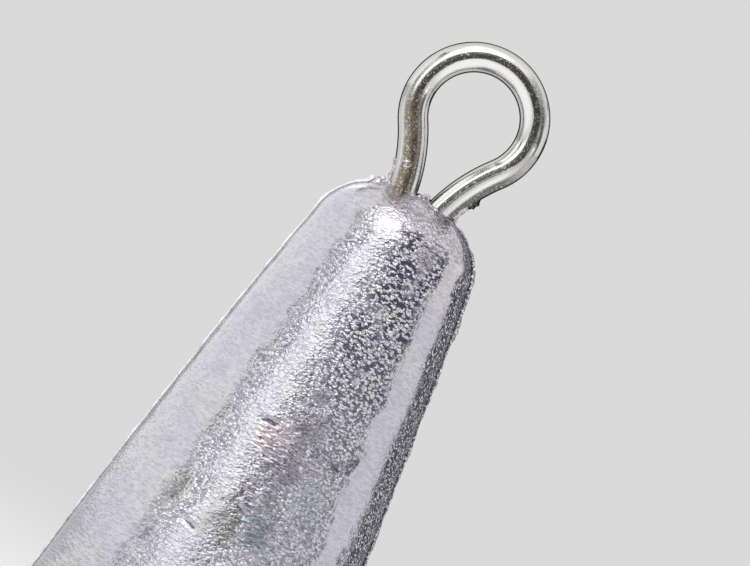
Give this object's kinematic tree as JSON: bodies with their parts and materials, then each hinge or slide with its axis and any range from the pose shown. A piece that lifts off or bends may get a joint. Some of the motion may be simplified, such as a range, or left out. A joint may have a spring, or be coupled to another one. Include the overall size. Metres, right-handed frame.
{
  "type": "fishing sinker",
  "caption": "Round, tapered cast lead sinker with a bent steel wire eye cast into its narrow end.",
  "frame": {"origin": "centre of the cut gate face under the body, which is also the bottom centre of the bounding box", "axes": "+Z is the body's axis of revolution and points from the gate to the eye; the wire and the parting line lie in the XZ plane, so a line runs through the eye along Y"},
  "size_m": [0.0222, 0.022, 0.0662],
  "materials": {
    "cast_lead": "as-cast lead: dull silver grey with fine grain, cold-shut wrinkles and a faint lilac bloom",
    "steel_wire": "bright drawn stainless wire with fine lengthwise scratches and a faint brown tarnish"
  },
  "bodies": {
    "root": {"lead_body": "cast_lead", "wire_eye": "steel_wire"}
  },
  "joints": []
}
